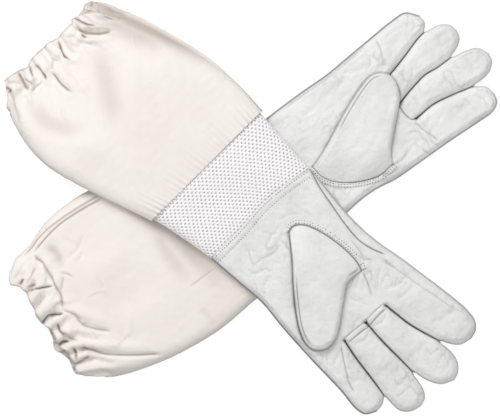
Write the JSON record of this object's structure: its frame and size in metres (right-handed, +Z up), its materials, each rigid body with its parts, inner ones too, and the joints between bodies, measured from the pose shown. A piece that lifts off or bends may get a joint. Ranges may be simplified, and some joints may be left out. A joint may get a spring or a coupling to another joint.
{
  "type": "beekeeping gloves",
  "caption": "Beekeeping gloves lying crossed, palms up: leather hands, ventilated mesh wrist bands and long canvas sleeves with gathered elastic cuffs.",
  "frame": {"origin": "on the floor, under the middle of the crossed pair's bounding box", "axes": "+Z up out of the palms, +X along the pair's longer side, away from the cuffs, towards the fingertips; +Y towards the right glove's fingertips"},
  "size_m": [0.4766, 0.4059, 0.0406],
  "materials": {
    "leather": "soft matt grain",
    "mesh": "open spacer mesh",
    "canvas": "plain weave",
    "elastic": "ribbed",
    "thread": "spun"
  },
  "bodies": {
    "right_hand": {"right_back_panel": "leather", "right_palm_panel": "leather", "right_little_side_strip": "leather", "right_index_side_strip": "leather", "right_wrist_binding": "leather", "right_wrist_topstitch": "thread", "right_mesh_band": "mesh", "right_gathering_stitch": "thread", "right_canvas_sleeve": "canvas"},
    "right_cuff": {"right_sleeve_end": "canvas", "right_hem_casing": "canvas", "right_elastic_band": "elastic"},
    "right_thumb": {"right_thumb_front": "leather", "right_thumb_back": "leather", "right_thumb_sidewall": "leather"},
    "right_index_finger": {"right_index_front": "leather", "right_index_back": "leather", "right_index_sidewall": "leather"},
    "right_middle_finger": {"right_middle_front": "leather", "right_middle_back": "leather", "right_middle_sidewall": "leather"},
    "right_ring_finger": {"right_ring_front": "leather", "right_ring_back": "leather", "right_ring_sidewall": "leather"},
    "right_little_finger": {"right_little_front": "leather", "right_little_back": "leather", "right_little_sidewall": "leather"},
    "left_hand": {"left_back_panel": "leather", "left_palm_panel": "leather", "left_little_side_strip": "leather", "left_index_side_strip": "leather", "left_wrist_binding": "leather", "left_wrist_topstitch": "thread", "left_mesh_band": "mesh", "left_gathering_stitch": "thread", "left_canvas_sleeve": "canvas"},
    "left_cuff": {"left_sleeve_end": "canvas", "left_hem_casing": "canvas", "left_elastic_band": "elastic"},
    "left_thumb": {"left_thumb_front": "leather", "left_thumb_back": "leather", "left_thumb_sidewall": "leather"},
    "left_index_finger": {"left_index_front": "leather", "left_index_back": "leather", "left_index_sidewall": "leather"},
    "left_middle_finger": {"left_middle_front": "leather", "left_middle_back": "leather", "left_middle_sidewall": "leather"},
    "left_ring_finger": {"left_ring_front": "leather", "left_ring_back": "leather", "left_ring_sidewall": "leather"},
    "left_little_finger": {"left_little_front": "leather", "left_little_back": "leather", "left_little_sidewall": "leather"}
  },
  "joints": [
    {"name": "left_glove_lift", "type": "slide", "parent": "right_hand", "child": "left_hand", "axis": [0, 0, 1], "range_m": [0, 0.3]},
    {"name": "right_cuff_fold", "type": "hinge", "parent": "right_hand", "child": "right_cuff", "pos_m": [-0.11682, -0.06579, 0.016], "axis": [-0.5878, 0.809, 0], "range_deg": [0, 85]},
    {"name": "right_thumb_base", "type": "hinge", "parent": "right_hand", "child": "right_thumb", "pos_m": [0.09317, 0.04376, 0.013], "axis": [0.9472, 0.3206, 0], "range_deg": [0, 100]},
    {"name": "right_index_knuckle", "type": "hinge", "parent": "right_hand", "child": "right_index_finger", "pos_m": [0.16979, 0.06371, 0.013], "axis": [0.4848, -0.8746, 0], "range_deg": [0, 80]},
    {"name": "right_middle_knuckle", "type": "hinge", "parent": "right_hand", "child": "right_middle_finger", "pos_m": [0.15071, 0.09509, 0.013], "axis": [0.5299, -0.848, 0], "range_deg": [0, 80]},
    {"name": "right_ring_knuckle", "type": "hinge", "parent": "right_hand", "child": "right_ring_finger", "pos_m": [0.13202, 0.12081, 0.013], "axis": [0.6756, -0.7373, 0], "range_deg": [0, 80]},
    {"name": "right_little_knuckle", "type": "hinge", "parent": "right_hand", "child": "right_little_finger", "pos_m": [0.11196, 0.14332, 0.013], "axis": [0.682, -0.7314, 0], "range_deg": [0, 80]},
    {"name": "left_cuff_fold", "type": "hinge", "parent": "left_hand", "child": "left_cuff", "pos_m": [-0.12453, 0.09375, 0.0326], "axis": [0.6947, 0.7193, 0], "range_deg": [0, 85]},
    {"name": "left_thumb_base", "type": "hinge", "parent": "left_hand", "child": "left_thumb", "pos_m": [0.06864, -0.04441, 0.02747], "axis": [-0.8922, 0.4482, 0.0566], "range_deg": [0, 100]},
    {"name": "left_index_knuckle", "type": "hinge", "parent": "left_hand", "child": "left_index_finger", "pos_m": [0.14165, -0.07474, 0.0231], "axis": [-0.602, -0.7985, -0.0072], "range_deg": [0, 80]},
    {"name": "left_middle_knuckle", "type": "hinge", "parent": "left_hand", "child": "left_middle_finger", "pos_m": [0.11838, -0.10315, 0.02292], "axis": [-0.6429, -0.766, -0.0041], "range_deg": [0, 80]},
    {"name": "left_ring_knuckle", "type": "hinge", "parent": "left_hand", "child": "left_ring_finger", "pos_m": [0.09629, -0.12602, 0.02292], "axis": [-0.7715, -0.6362, 0.0067], "range_deg": [0, 80]},
    {"name": "left_little_knuckle", "type": "hinge", "parent": "left_hand", "child": "left_little_finger", "pos_m": [0.0733, -0.14552, 0.0231], "axis": [-0.777, -0.6295, 0.0072], "range_deg": [0, 80]}
  ]
}
